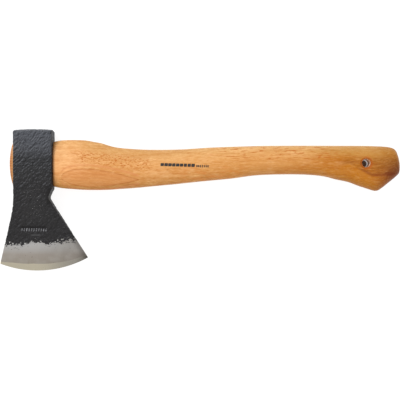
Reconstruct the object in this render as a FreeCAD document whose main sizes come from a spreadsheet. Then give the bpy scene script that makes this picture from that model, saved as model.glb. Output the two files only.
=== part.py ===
import FreeCAD, Part
import math
import os
import Sketcher
from FreeCAD import Vector

# Hatchet: a forged head wedged on a curved wooden handle.
# Millimetres. The hatchet lies on its side: +X runs along the handle to its end, +Y points to
# the poll and +Z is up. The origin is on the resting cheek, right under the middle of the eye.

SIZES = {
    # forged head, side view
    "head_thickness": 28,
    "head_half_depth": 19.4,
    "poll_reach": 34,
    "poll_bow_radius": 190,
    "crown_edge": 32.4,
    "crown_radius": 39,
    "flare_start": 40,
    "flare_radius": 90,
    "toe_out": 33.7,
    "toe_drop": 99.8,
    "heel_out": 54.1,
    "heel_drop": 93.4,
    "lug_drop": 24.5,
    "lug_radius": 2,
    "notch_out": 15.2,
    "notch_drop": 33.8,
    "notch_radius": 5,
    "forging_chamfer": 0.9,
    # cheeks hollow down to the blade, then the ground bit and its honed bevel
    "cheek_drop": 22,
    "cheek_radius": 303,
    "blade_drop": 78,
    "blade_half": 3.6,
    "blade_end_drop": 112,
    "blade_end_half": 0.9,
    "edge_radius": 105,
    "edge_centre_x": 2,
    "edge_centre_y": -2,
    "bevel_width": 7,
    "bevel_half": 1.5,
    "edge_half": 0.2,
    # eye and the tongue of wood in it
    "eye_half_length": 20.6,
    "eye_half_width": 8.8,
    "eye_spread": 0.8,
    "eye_reach": 23.4,
    "eye_gap": 0.05,
    "dome_radius": 82,
    # wedges
    "kerf_mouth": 5.2,
    "kerf_tip": 0.8,
    "kerf_depth": 28,
    "ring_radius": 6,
    "ring_wall": 1.6,
    "ring_depth": 17,
    # hanging hole, countersunk from both sides
    "hole_x": 330.8,
    "hole_y": 0.6,
    "hole_radius": 4,
    "hole_wall": 22.4,
    "sink_depth": 4,
}

# Oval sections of the handle: distance along X, top edge, bottom edge and thickness.
SHAFT = {
    "shoulder": (19.4, 22.3, -22.7, 19.6),
    "swell": (40, 24.1, -25.3, 21.0),
    "hip": (62, 21.8, -26.1, 22.0),
    "neck": (90, 15.7, -24.8, 22.8),
    "waist": (125, 14.2, -21.8, 23.6),
    "throat": (190, 17.0, -15.4, 24.0),
    "grip": (255, 18.3, -10.4, 24.4),
    "belly": (305, 18.2, -16.2, 26.4),
    "knob": (341, 17.8, -26.8, 28.0),
}
BUTT = {
    "knob": SHAFT["knob"],
    "slant": (354, 17.0, -20.6, 26.6),
    "toe_of_butt": (362, 12.6, -12.4, 21.0),
    "butt": (365.4, 5.0, -8.0, 11.0),
}

ALONG_X = FreeCAD.Rotation(Vector(0, 1, 0), Vector(0, 0, 1), Vector(1, 0, 0))


def fillSheet(doc):
    """Write every driving dimension into the sheet under its own alias."""
    sheet = doc.addObject("Spreadsheet::Sheet", "Sizes")
    cells = dict(SIZES)
    for name, section in {**SHAFT, **BUTT}.items():
        for part, value in zip(("along", "top", "bottom", "thick"), section):
            cells[name + "_" + part] = value
    for row, (alias, value) in enumerate(cells.items(), start=1):
        sheet.set("A%d" % row, alias)
        sheet.set("B%d" % row, str(value))
        sheet.setAlias("B%d" % row, alias)
    doc.recompute()


def bind(thing, **expressions):
    """Bind properties to the sheet; a double underscore stands for a dot."""
    for name, expression in expressions.items():
        thing.setExpression(name.replace("__", "."), expression)


def newSketch(body, name, role, x="0", y="0", z="0"):
    """Sketch on one of the body's origin planes, shifted by expressions."""
    plane = next(item for item in body.Origin.OriginFeatures if item.Role == role)
    sketch = body.newObject("Sketcher::SketchObject", name)
    sketch.AttachmentSupport = [(plane, "")]
    sketch.MapMode = "FlatFace"
    bind(sketch, AttachmentOffset__Base__x=x, AttachmentOffset__Base__y=y, AttachmentOffset__Base__z=z)
    return sketch


def bowed(start, end, radius):
    """Anticlockwise arc between two points, so it bows to the right of the way."""
    way = end - start
    rise = radius - math.sqrt(radius**2 - way.Length**2 / 4)
    across = Vector(way.y, -way.x, 0).normalize()
    return Part.Arc(start, start + way / 2 + across * rise, end)


def drawOutline(sketch, corners, bows=None):
    """Closed outline whose corners are pairs of expressions.

    bows gives, for a side's number, the alias of its radius and whether it bows to the left.
    """
    bows = bows or {}
    spots = [Vector(*(float(sketch.evalExpression(e)) for e in pair), 0) for pair in corners]
    ends = []
    for i, start in enumerate(spots):
        end = spots[(i + 1) % len(spots)]
        if i in bows:
            alias, left = bows[i]
            radius = sketch.evalExpression("Sizes." + alias)
            arc = bowed(end, start, radius) if left else bowed(start, end, radius)
            curve = sketch.addGeometry(arc)
            limit = sketch.addConstraint(Sketcher.Constraint("Radius", curve, radius))
            sketch.setExpression("Constraints[%d]" % limit, "Sizes." + alias)
            ends.append((curve, 2, 1) if left else (curve, 1, 2))
        else:
            ends.append((sketch.addGeometry(Part.LineSegment(start, end)), 1, 2))
    for i, (curve, start, end) in enumerate(ends):
        after, afterStart, _ = ends[(i + 1) % len(ends)]
        sketch.addConstraint(Sketcher.Constraint("Coincident", curve, end, after, afterStart))
        for kind, value, expression in zip(("DistanceX", "DistanceY"), spots[i], corners[i]):
            place = sketch.addConstraint(Sketcher.Constraint(kind, -1, 1, curve, start, value))
            sketch.setExpression("Constraints[%d]" % place, expression)


def drawEllipse(sketch, halfLength, halfWidth):
    """Ellipse about the sketch's origin with its long axis level."""
    long = float(sketch.evalExpression(halfLength))
    short = float(sketch.evalExpression(halfWidth))
    sketch.addGeometry(Part.Ellipse(Vector(0, 0, 0), long, short))
    sketch.exposeInternalGeometry(0)
    sketch.addConstraint(Sketcher.Constraint("Coincident", 0, 3, -1, 1))
    sketch.addConstraint(Sketcher.Constraint("Horizontal", 1))
    for axis, size, expression in ((1, long, halfLength), (2, short, halfWidth)):
        limit = sketch.addConstraint(Sketcher.Constraint("Distance", axis, 2 * size))
        sketch.setExpression("Constraints[%d]" % limit, "2 * (%s)" % expression)


def edgesWhere(shape, test):
    """Names of the edges whose every vertex passes the test."""
    return ["Edge%d" % i for i, edge in enumerate(shape.Edges, start=1)
            if all(test(vertex.Point) for vertex in edge.Vertexes)]


def roundCorner(body, name, x, y, radius):
    """Round the upright edge at a corner of the side view."""
    body.Document.recompute()
    base = body.Tip
    corner = Vector(float(base.evalExpression(x)), float(base.evalExpression(y)), 0)
    found = edgesWhere(base.Shape, lambda p: math.hypot(p.x - corner.x, p.y - corner.y) < 0.01)
    fillet = body.newObject("PartDesign::Fillet", name)
    fillet.Base = (base, found)
    bind(fillet, Radius=radius)


def cutThrough(body, name, sketch):
    """Pocket that leaves the solid on both sides of its sketch."""
    pocket = body.newObject("PartDesign::Pocket", name)
    pocket.Profile = sketch
    pocket.Type = "ThroughAll"
    pocket.Midplane = True
    return pocket


def forgeBlank(body):
    """Side view of the head at full thickness, with its corners rounded."""
    outline = newSketch(body, "side_outline", "XY_Plane")
    corners = [
        ("-Sizes.head_half_depth", "Sizes.poll_reach"),
        ("-Sizes.head_half_depth", "-Sizes.flare_start"),
        ("-Sizes.toe_out", "-Sizes.toe_drop"),
        ("Sizes.heel_out", "-Sizes.heel_drop"),
        ("Sizes.notch_out", "-Sizes.notch_drop"),
        ("Sizes.head_half_depth", "-Sizes.lug_drop"),
        ("Sizes.head_half_depth", "Sizes.poll_reach"),
    ]
    drawOutline(outline, corners, {2: ("edge_radius", False), 6: ("poll_bow_radius", False)})
    pad = body.newObject("PartDesign::Pad", "blank")
    pad.Profile = outline
    bind(pad, Length="Sizes.head_thickness")
    roundCorner(body, "flare", *corners[1], "Sizes.flare_radius")
    roundCorner(body, "notch", *corners[4], "Sizes.notch_radius")
    roundCorner(body, "lug", *corners[5], "Sizes.lug_radius")


def hollowCheeks(body):
    """Cut both sides from the full thickness of the eye down to the thin blade."""
    sketch = newSketch(body, "cheek_profile", "YZ_Plane", y="Sizes.head_thickness / 2")
    for side in ("", "-"):
        corners = [
            ("-Sizes.cheek_drop", side + "Sizes.head_thickness / 2"),
            ("-Sizes.blade_drop", side + "Sizes.blade_half"),
            ("-Sizes.blade_end_drop", side + "Sizes.blade_end_half"),
            ("-Sizes.blade_end_drop", side + "Sizes.head_thickness"),
            ("-Sizes.cheek_drop", side + "Sizes.head_thickness"),
        ]
        drawOutline(sketch, corners, {0: ("cheek_radius", side == "")})
    cutThrough(body, "cheeks", sketch)


def crownPoll(body):
    """Give the striking face its slight dome."""
    sketch = newSketch(body, "crown_profile", "YZ_Plane", y="Sizes.head_thickness / 2")
    corners = [
        ("Sizes.crown_edge", "Sizes.head_thickness / 2"),
        ("Sizes.crown_edge", "-Sizes.head_thickness / 2"),
        ("2 * Sizes.crown_edge", "-Sizes.head_thickness / 2"),
        ("2 * Sizes.crown_edge", "Sizes.head_thickness / 2"),
    ]
    drawOutline(sketch, corners, {0: ("crown_radius", True)})
    cutThrough(body, "crown", sketch)


def honeEdge(body):
    """Bevel that follows the curve of the edge, on both faces."""
    sketch = newSketch(body, "bevel_profile", "YZ_Plane", x="Sizes.edge_centre_y",
                       y="Sizes.head_thickness / 2", z="Sizes.edge_centre_x")
    inner = "-(Sizes.edge_radius - 4 * Sizes.bevel_width)"
    outer = "-(Sizes.edge_radius + Sizes.bevel_width)"
    for side in ("", "-"):
        rise = side + "(4 * Sizes.bevel_half - 3 * Sizes.edge_half)"
        corners = [
            (inner, rise),
            ("-Sizes.edge_radius", side + "Sizes.edge_half"),
            (outer, side + "Sizes.edge_half"),
            (outer, side + "Sizes.head_thickness"),
            (inner, side + "Sizes.head_thickness"),
        ]
        drawOutline(sketch, corners)
    groove = body.newObject("PartDesign::Groove", "bevel")
    groove.Profile = sketch
    groove.ReferenceAxis = (sketch, ["V_Axis"])
    groove.Angle = 360


def openEye(body):
    """Oval eye along the handle, a little larger where the wedges spread the tongue."""
    sketches = []
    for name, place, spread in (("eye_entry", "", ""), ("eye_exit", "-", " + Sizes.eye_spread")):
        sketch = newSketch(body, name, "YZ_Plane", y="Sizes.head_thickness / 2",
                           z=place + "Sizes.eye_reach")
        drawEllipse(sketch, "Sizes.eye_half_length" + spread, "Sizes.eye_half_width" + spread)
        sketches.append(sketch)
    eye = body.newObject("PartDesign::SubtractiveLoft", "eye")
    eye.Profile = sketches[0]
    eye.Sections = [sketches[1]]
    eye.Ruled = True


def breakEdges(body):
    """Chamfer the corners of the two resting cheeks, but not the line where they turn down."""
    body.Document.recompute()
    base = body.Tip
    thickness = base.evalExpression("Sizes.head_thickness")
    low = -base.evalExpression("Sizes.cheek_drop")
    found = []
    for level in (0, thickness):
        flat = edgesWhere(base.Shape, lambda p: abs(p.z - level) < 0.01)
        turn = edgesWhere(base.Shape, lambda p: abs(p.y - low) < 0.01)
        found += [name for name in flat if name not in turn]
    chamfer = body.newObject("PartDesign::Chamfer", "broken_edges")
    chamfer.Base = (base, found)
    bind(chamfer, Size="Sizes.forging_chamfer")


def makeHead(doc):
    """One forging: poll, eye, cheeks and blade."""
    body = doc.addObject("PartDesign::Body", "head")
    forgeBlank(body)
    hollowCheeks(body)
    crownPoll(body)
    honeEdge(body)
    openEye(body)
    breakEdges(body)
    return body


def cut(doc, name, base, tools):
    """Take the tools out of the base, one after another."""
    for i, tool in enumerate(tools, start=1):
        rest = doc.addObject("Part::Cut", name if i == len(tools) else "%s_step%d" % (name, i))
        rest.Base = base
        rest.Tool = tool
        base = rest
    return base


def makeWaste(doc):
    """What is dressed off the proud end of the tongue and its wedges to leave a shallow dome."""
    block = doc.addObject("Part::Box", "end_block")
    bind(block, Length="Sizes.eye_reach", Width="4 * Sizes.eye_half_length",
         Height="2 * Sizes.head_thickness", Placement__Base__x="-1.5 * Sizes.eye_reach",
         Placement__Base__y="-2 * Sizes.eye_half_length", Placement__Base__z="-Sizes.head_thickness / 2")
    dome = doc.addObject("Part::Sphere", "dome")
    bind(dome, Radius="Sizes.dome_radius", Placement__Base__x="Sizes.dome_radius - Sizes.eye_reach",
         Placement__Base__z="Sizes.head_thickness / 2")
    return cut(doc, "dome_waste", block, [dome])


def makeRing(doc, waste):
    """Round steel wedge: a short tube whose wall thins to a cutting rim."""
    body = doc.addObject("PartDesign::Body", "ring_tube")
    sketch = newSketch(body, "ring_profile", "XY_Plane", x="-Sizes.eye_reach",
                       z="Sizes.head_thickness / 2")
    inside = "Sizes.ring_radius - Sizes.ring_wall"
    corners = [
        ("0", inside),
        ("Sizes.ring_depth / 2", inside),
        ("Sizes.ring_depth", "Sizes.ring_radius - Sizes.ring_wall / 5"),
        ("Sizes.ring_depth", "Sizes.ring_radius"),
        ("0", "Sizes.ring_radius"),
    ]
    drawOutline(sketch, corners)
    turned = body.newObject("PartDesign::Revolution", "ring")
    turned.Profile = sketch
    turned.ReferenceAxis = (sketch, ["H_Axis"])
    turned.Angle = 360
    return cut(doc, "ring_wedge", body, [waste])


def makeOval(doc, name, along, top, bottom, thick):
    """Oval section across the handle, its sizes given as expressions."""
    oval = doc.addObject("Part::Ellipse", "oval_" + name)
    oval.Placement = FreeCAD.Placement(Vector(), ALONG_X)
    bind(oval, MajorRadius="(%s - (%s)) / 2" % (top, bottom), MinorRadius="(%s) / 2" % thick)
    bind(oval, Placement__Base__x=along, Placement__Base__y="(%s + (%s)) / 2" % (top, bottom),
         Placement__Base__z="Sizes.head_thickness / 2")
    return oval


def makeLoft(doc, name, ovals, ruled):
    """Solid through a row of ovals."""
    loft = doc.addObject("Part::Loft", name)
    loft.Sections = ovals
    loft.Solid = True
    loft.Ruled = ruled
    return loft


def makeTongue(doc):
    """Wood inside the eye, up to the end that stands proud of the head."""
    ovals = []
    for name, place, spread in (("entry", "", "0"), ("proud_end", "-", "Sizes.eye_spread")):
        length = "(Sizes.eye_half_length + %s - Sizes.eye_gap)" % spread
        width = "(Sizes.eye_half_width + %s - Sizes.eye_gap)" % spread
        ovals.append(makeOval(doc, name, place + "Sizes.eye_reach", length, "-" + length,
                              "2 * " + width))
    return makeLoft(doc, "tongue", ovals, True)


def makeWood(doc, tongue):
    """The whole haft before it is split and drilled."""
    ovals = {name: makeOval(doc, name, *("Sizes.%s_%s" % (name, part) for part in
                                         ("along", "top", "bottom", "thick")))
             for name in {**SHAFT, **BUTT}}
    shaft = makeLoft(doc, "shaft", [ovals[name] for name in SHAFT], False)
    butt = makeLoft(doc, "butt_end", [ovals[name] for name in BUTT], True)
    wood = doc.addObject("Part::MultiFuse", "wood")
    wood.Shapes = [tongue, shaft, butt]
    wood.Refine = True
    return wood


def makeKerf(doc):
    """Wedge-shaped split across the tongue, along the long way of the eye."""
    kerf = doc.addObject("Part::Wedge", "kerf")
    kerf.Placement = FreeCAD.Placement(Vector(), FreeCAD.Rotation(Vector(0, 0, 1), -90))
    bind(kerf, Xmin="-2 * Sizes.eye_half_length", X2min="-2 * Sizes.eye_half_length",
         Xmax="2 * Sizes.eye_half_length", X2max="2 * Sizes.eye_half_length",
         Ymin="0", Ymax="Sizes.kerf_depth",
         Zmin="-Sizes.kerf_mouth / 2", Zmax="Sizes.kerf_mouth / 2",
         Z2min="-Sizes.kerf_tip / 2", Z2max="Sizes.kerf_tip / 2",
         Placement__Base__x="-Sizes.eye_reach", Placement__Base__z="Sizes.head_thickness / 2")
    return kerf


def makeHangingHole(doc):
    """Straight hole with a countersink at each end."""
    drill = doc.addObject("Part::Cylinder", "drill")
    bind(drill, Radius="Sizes.hole_radius", Height="Sizes.hole_wall")
    tools = [drill]
    for name, turn in (("upper_sink", 0), ("lower_sink", 180)):
        sink = doc.addObject("Part::Cone", name)
        sink.Placement = FreeCAD.Placement(Vector(), FreeCAD.Rotation(Vector(1, 0, 0), turn))
        bind(sink, Radius1="Sizes.hole_radius", Radius2="Sizes.hole_radius + Sizes.sink_depth",
             Height="Sizes.sink_depth")
        tools.append(sink)
    for tool, level in zip(tools, ("-1", "1", "-1")):
        bind(tool, Placement__Base__x="Sizes.hole_x", Placement__Base__y="Sizes.hole_y",
             Placement__Base__z="Sizes.head_thickness / 2 + %s * Sizes.hole_wall / 2" % level)
    hole = doc.addObject("Part::MultiFuse", "hanging_hole")
    hole.Shapes = tools
    return hole


def makeKerfWedge(doc, tongue, kerf, ring, waste):
    """Hardwood wedge that fills the kerf and takes the outline of the tongue."""
    filling = doc.addObject("Part::Common", "kerf_filling")
    filling.Base = tongue
    filling.Tool = kerf
    return cut(doc, "kerf_wedge", filling, [ring, waste])


def checkModel(doc, nodes):
    """Stop on any failed object or bad shape, and print what was made."""
    for item in doc.Objects:
        if "Invalid" in item.State or "Error" in item.State:
            raise RuntimeError("%s failed" % item.Name)
    for node in nodes:
        shape = node.Shape
        if shape.isNull() or not shape.isValid():
            raise RuntimeError("%s has a bad shape" % node.Label)
        print("%-12s solids %d volume %.0f box %s" % (node.Label, len(shape.Solids),
                                                     shape.Volume, shape.BoundBox))


def main():
    doc = FreeCAD.newDocument("hatchet")
    fillSheet(doc)
    tongue = makeTongue(doc)
    kerf = makeKerf(doc)
    waste = makeWaste(doc)
    head = makeHead(doc)
    ring = makeRing(doc, waste)
    wedge = makeKerfWedge(doc, tongue, kerf, ring, waste)
    handle = cut(doc, "handle", makeWood(doc, tongue), [kerf, ring, waste, makeHangingHole(doc)])
    doc.recompute()
    nodes = [head, handle, wedge, ring]
    checkModel(doc, nodes)
    os.makedirs("parts", exist_ok=True)
    for node in nodes:
        node.Shape.exportStep("parts/%s.step" % node.Label)


main()
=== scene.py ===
import math
from functools import partialmethod

import bmesh
import bpy
import numpy as np
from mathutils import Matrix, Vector, noise


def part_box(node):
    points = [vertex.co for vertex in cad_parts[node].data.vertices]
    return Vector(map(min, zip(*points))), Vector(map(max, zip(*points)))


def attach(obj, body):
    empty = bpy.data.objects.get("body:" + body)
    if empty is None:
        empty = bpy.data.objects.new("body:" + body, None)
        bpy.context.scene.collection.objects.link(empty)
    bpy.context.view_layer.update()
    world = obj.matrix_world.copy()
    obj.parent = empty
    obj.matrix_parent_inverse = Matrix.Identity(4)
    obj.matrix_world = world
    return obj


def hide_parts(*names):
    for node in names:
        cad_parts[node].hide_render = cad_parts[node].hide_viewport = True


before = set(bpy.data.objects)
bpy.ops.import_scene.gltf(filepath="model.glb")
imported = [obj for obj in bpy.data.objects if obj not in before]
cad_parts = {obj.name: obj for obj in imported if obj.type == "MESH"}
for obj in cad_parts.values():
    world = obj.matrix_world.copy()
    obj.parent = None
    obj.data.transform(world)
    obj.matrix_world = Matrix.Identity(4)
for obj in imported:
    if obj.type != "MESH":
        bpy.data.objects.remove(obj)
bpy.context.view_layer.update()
mm = 0.001
headLow, headHigh = (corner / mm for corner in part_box("head"))
midZ = headHigh.z / 2  # plane between the cheeks, in mm
print("frame loaded")


class Wire:
    # one socket of a node; arithmetic on it adds Math nodes
    def __init__(self, net, socket):
        self.net = net
        self.socket = socket

    def apply(self, operation, *values):
        return self.net.add("ShaderNodeMath", {"operation": operation}, dict(enumerate((self, *values))))

    __add__ = __radd__ = partialmethod(apply, "ADD")
    __sub__ = partialmethod(apply, "SUBTRACT")
    __mul__ = __rmul__ = partialmethod(apply, "MULTIPLY")
    __truediv__ = partialmethod(apply, "DIVIDE")
    __pow__ = partialmethod(apply, "POWER")

    def __rsub__(self, number):
        return self * -1 + number

    def step(self, low, high):
        # smooth ramp from 0 at low to 1 at high, which may be the smaller number
        return self.net.add("ShaderNodeMapRange", {"interpolation_type": "SMOOTHSTEP"},
                            {"Value": self, "From Min": low, "From Max": high})

    def within(self, low, inLow, inHigh, high):
        # 1 between inLow and inHigh, fading to 0 at low and high
        return self.step(low, inLow) * (1 - self.step(inHigh, high))

    def clamped(self):
        return self.net.add("ShaderNodeClamp", {}, {"Value": self})

    def other(self, name):
        return Wire(self.net, self.socket.node.outputs[name])


class Net:
    # a node tree and the one method that puts nodes in it
    def __init__(self, tree):
        self.tree = tree

    def add(self, kind, settings=None, inputs=None, output=0):
        node = self.tree.nodes.new(kind)
        for name, value in (settings or {}).items():
            if name == "stops":
                fillRamp(node.color_ramp, value)
            elif name == "points":
                fillCurve(node.mapping, value)
            else:
                setattr(node, name, value)
        for name, value in (inputs or {}).items():
            if isinstance(value, Wire):
                self.tree.links.new(value.socket, node.inputs[name])
            else:
                node.inputs[name].default_value = value
        if len(node.outputs):
            return Wire(self, node.outputs[output])

    def scaled(self, vector, factor):
        return self.add("ShaderNodeVectorMath", {"operation": "SCALE"}, {0: vector, "Scale": factor})

    def parts(self, vector):
        # a wire for X, Y and Z each
        split = self.add("ShaderNodeSeparateXYZ", {}, {"Vector": vector})
        return split, split.other("Y"), split.other("Z")

    def joined(self, x=0.0, y=0.0, z=0.0):
        return self.add("ShaderNodeCombineXYZ", {}, {"X": x, "Y": y, "Z": z})

    def mix(self, factor, a, b, blend="MIX"):
        # colours through one Mix node: its colour sockets are 6 and 7, its colour output is 2
        a, b = (value if isinstance(value, Wire) else (*value, 1) for value in (a, b))
        return self.add("ShaderNodeMix", {"data_type": "RGBA", "blend_type": blend},
                        {0: factor, 6: a, 7: b}, 2)

    def coat(self, colour, *layers):
        # a layer is how much it covers and its colour as it is seen, from 0 to 255;
        # one with no part above 1 is a stain, given as the share of light it lets through
        for cover, layer in layers:
            if max(layer) > 1:
                colour = self.mix(cover, colour, tone(*layer))
            else:
                colour = self.mix(cover, colour, layer, "MULTIPLY")
        return colour

    def shades(self, place, *stops):
        # a colour ramp read at place, with stops of (place, colour as it is seen)
        stops = tuple((at, tone(*seen)) for at, seen in stops)
        return self.add("ShaderNodeValToRGB", {"stops": stops}, {"Fac": place})

    def coords(self):
        # object coordinates in millimetres
        return self.scaled(self.add("ShaderNodeTexCoord", output="Object"), 1 / mm)

    def noise(self, place, size, detail=2, roughness=0.5, shift=(0, 0, 0), turn=0):
        # noise whose features are size mm across, as one number or along each axis
        size = size if isinstance(size, tuple) else (size, size, size)
        place = self.add("ShaderNodeMapping", {"vector_type": "TEXTURE"},
                         {"Vector": place, "Location": shift, "Rotation": (0, 0, turn), "Scale": size})
        return self.add("ShaderNodeTexNoise", {},
                        {"Vector": place, "Scale": 1, "Detail": detail, "Roughness": roughness})


def fillRamp(ramp, stops):
    while len(ramp.elements) < len(stops):
        ramp.elements.new(1)
    for element, (place, colour) in zip(ramp.elements, stops):
        element.position = place
        element.color = (*colour, 1)


def fillCurve(mapping, points):
    curve = mapping.curves[0]
    while len(curve.points) < len(points):
        curve.points.new(1, 1)
    for point, place in zip(curve.points, points):
        point.location = place
        point.handle_type = "AUTO_CLAMPED"
    mapping.update()


def tone(red, green, blue):
    # a colour as it is seen, from 0 to 255, to the linear values that nodes take
    return tuple((c / 255 / 12.92) if c < 10.3 else ((c / 255 + 0.055) / 1.055) ** 2.4
                 for c in (red, green, blue))


def newMaterial(name, metallic=0.0, roughness=0.5, **fixed):
    # a material with one Principled shader; returns it, its net and its shader node
    material = bpy.data.materials.new(name)
    material.use_nodes = True
    net = Net(material.node_tree)
    shader = material.node_tree.nodes["Principled BSDF"]
    for socket, value in {"Metallic": metallic, "Roughness": roughness, **fixed}.items():
        shader.inputs[socket].default_value = value
    return material, net, shader


def feed(net, shader, **links):
    for name, wire in links.items():
        net.tree.links.new(wire.socket, shader.inputs[name.replace("_", " ")])


def bump(net, height, distance, strength=1.0):
    # height is 0 to 1 and stands for distance mm
    return net.add("ShaderNodeBump", {}, {"Height": height, "Distance": distance * mm, "Strength": strength})


def newPiece(name, verts, faces, material=None):
    # mesh object from places in mm
    mesh = bpy.data.meshes.new(name)
    mesh.from_pydata([tuple(v) for v in np.asarray(verts) * mm], [], faces)
    mesh.update()
    piece = bpy.data.objects.new(name, mesh)
    bpy.context.scene.collection.objects.link(piece)
    if material:
        mesh.materials.append(material)
    return piece


def quadStrips(index, closedRows=False):
    # faces between neighbours in a table of point numbers whose rows close on themselves
    across, below = np.roll(index, -1, 1), np.roll(index, -1, 0)
    faces = np.stack([index, across, np.roll(across, -1, 0), below], 2)
    return (faces if closedRows else faces[:-1]).reshape(-1, 4).tolist()


def weld(piece, distance=0.002):
    # merge doubles, drop what they flattened, and turn every face outwards
    work = bmesh.new()
    work.from_mesh(piece.data)
    bmesh.ops.remove_doubles(work, verts=work.verts, dist=distance * mm)
    bmesh.ops.dissolve_degenerate(work, edges=work.edges, dist=distance * mm / 10)
    bmesh.ops.recalc_face_normals(work, faces=work.faces)
    work.to_mesh(piece.data)
    work.free()


def bakeModifiers(piece):
    # the evaluated mesh becomes the piece's own, and the modifiers go
    bpy.context.view_layer.update()
    graph = bpy.context.evaluated_depsgraph_get()
    mesh = bpy.data.meshes.new_from_object(piece.evaluated_get(graph))
    piece.modifiers.clear()
    piece.data = mesh


def combine(piece, tool, operation, keepTool=False):
    modifier = piece.modifiers.new("combine", "BOOLEAN")
    modifier.operation = operation
    modifier.solver = "EXACT"
    modifier.object = tool
    bakeModifiers(piece)
    if not keepTool:
        bpy.data.objects.remove(tool)


def smooth(piece, angle):
    piece.data.shade_smooth()
    piece.data.set_sharp_from_angle(angle=math.radians(angle))


def finishPiece(piece, material, slot, *nodes):
    piece.data.materials.clear()
    piece.data.materials.append(material)
    piece.data.polygons.foreach_set("material_index", [0] * len(piece.data.polygons))
    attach(piece, "root")
    for node in nodes:
        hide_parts(node)


def geometryTree(name, sizes):
    # new Geometry Nodes tree with named inputs; returns it, its net and a wire for each input
    kinds = {int: "Int", float: "Float", tuple: "Vector",
             bpy.types.Material: "Material", bpy.types.Object: "Object"}
    tree = bpy.data.node_groups.new(name, "GeometryNodeTree")
    for direction in ("INPUT", "OUTPUT"):
        tree.interface.new_socket("Geometry", in_out=direction, socket_type="NodeSocketGeometry")
    for label, value in sizes.items():
        tree.interface.new_socket(label, in_out="INPUT", socket_type="NodeSocket" + kinds[type(value)])
    net = Net(tree)
    given = tree.nodes.new("NodeGroupInput")
    wires = {socket.name: Wire(net, socket) for socket in given.outputs if socket.name}
    return tree, net, wires


def endTree(net, geometry, material, smoothShade=True):
    # every tree ends in Realize Instances and Set Material
    geometry = net.add("GeometryNodeRealizeInstances", {}, {"Geometry": geometry})
    geometry = net.add("GeometryNodeSetShadeSmooth", {}, {"Geometry": geometry, "Shade Smooth": smoothShade})
    geometry = net.add("GeometryNodeSetMaterial", {}, {"Geometry": geometry, "Material": material})
    net.add("NodeGroupOutput", {}, {"Geometry": geometry})


def runTree(piece, tree, sizes):
    modifier = piece.modifiers.new(tree.name, "NODES")
    modifier.node_group = tree
    for item in tree.interface.items_tree:
        if item.in_out == "INPUT" and item.name in sizes:
            modifier[item.identifier] = sizes[item.name]
    bakeModifiers(piece)


# the camera looks straight down on the hatchet, which lies on its side; lengths in mm
studio = {
    "cameraPlace": (166, -36, 1284), "cameraDistance": 1270, "view": 400, "near": 0.01, "far": 50,
    "floorTone": (128, 128, 128), "floorSize": 6000, "floorCells": 24, "floorMiddle": 150, "floorDrop": 0.02,
    "floorGlow": 0.87,
    "holeShadow": {"x": 330.9, "y": 0.5, "dark": 2.9, "lit": 5.4},    # painted shadow on the floor under the hanging hole: dark within one radius, glowing past the other
    "sky": 0.82, "skyWarm": (1.0, 0.995, 0.985),
    "lamps": {"key": ((-500, 700, 900), 500, 7.5), "fill": ((700, -500, 1000), 1200, 2.0)},   # place, size, W
    "aim": (150, -20, 0),
}


def makeStudio():
    camera = bpy.data.objects.new("camera", bpy.data.cameras.new("camera"))
    camera.location = Vector(studio["cameraPlace"]) * mm
    camera.data.sensor_width = 36
    camera.data.angle = 2 * math.atan(studio["view"] / 2 / studio["cameraDistance"])
    camera.data.clip_start, camera.data.clip_end = studio["near"], studio["far"]    # in metres
    bpy.context.scene.collection.objects.link(camera)
    bpy.context.scene.camera = camera
    bpy.context.scene.view_settings.view_transform = "Standard"

    world = bpy.data.worlds.new("softSky")
    bpy.context.scene.world = world
    world.use_nodes = True
    sky = world.node_tree.nodes["Background"]
    sky.inputs["Color"].default_value = (*studio["skyWarm"], 1)
    sky.inputs["Strength"].default_value = studio["sky"]

    for name, (place, size, power) in studio["lamps"].items():
        lamp = bpy.data.objects.new(name, bpy.data.lights.new(name, "AREA"))
        lamp.data.shape = "DISK"
        lamp.data.size = size * mm
        lamp.data.energy = power
        lamp.location = Vector(place) * mm
        aim = Vector(studio["aim"]) * mm - lamp.location
        lamp.rotation_euler = aim.to_track_quat("-Z", "Y").to_euler()
        bpy.context.scene.collection.objects.link(lamp)

    edge, cells = studio["floorSize"] / 2, studio["floorCells"]
    steps = np.linspace(-edge, edge, cells + 1)
    verts = [(x + studio["floorMiddle"], y, -studio["floorDrop"]) for y in steps for x in steps]
    corners = [row * (cells + 1) + column for row in range(cells) for column in range(cells)]
    faces = [(first, first + 1, first + cells + 2, first + cells + 1) for first in corners]
    material, net, shader = newMaterial("paleFloor", roughness=0.9)
    grainy = net.noise(net.coords(), 40, detail=3)
    pale = tone(*studio["floorTone"])
    feed(net, shader, Base_Color=net.mix(grainy * 0.2, pale, tuple(c * 0.97 for c in pale)))
    # an evenly glowing table, with a painted shadow under the hanging hole where its glow is off
    shader.inputs["Emission Strength"].default_value = studio["floorGlow"]
    x, y, _ = net.parts(net.coords())
    holeShadow = studio["holeShadow"]
    lit = (((x - holeShadow["x"]) ** 2 + (y - holeShadow["y"]) ** 2) ** 0.5).step(holeShadow["dark"], holeShadow["lit"])
    feed(net, shader, Emission_Color=net.mix(lit, (0.0, 0.0, 0.0), (1.0, 1.0, 1.0)))
    newPiece("floor", verts, faces, material)


makeStudio()
print("studio ready")


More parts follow.
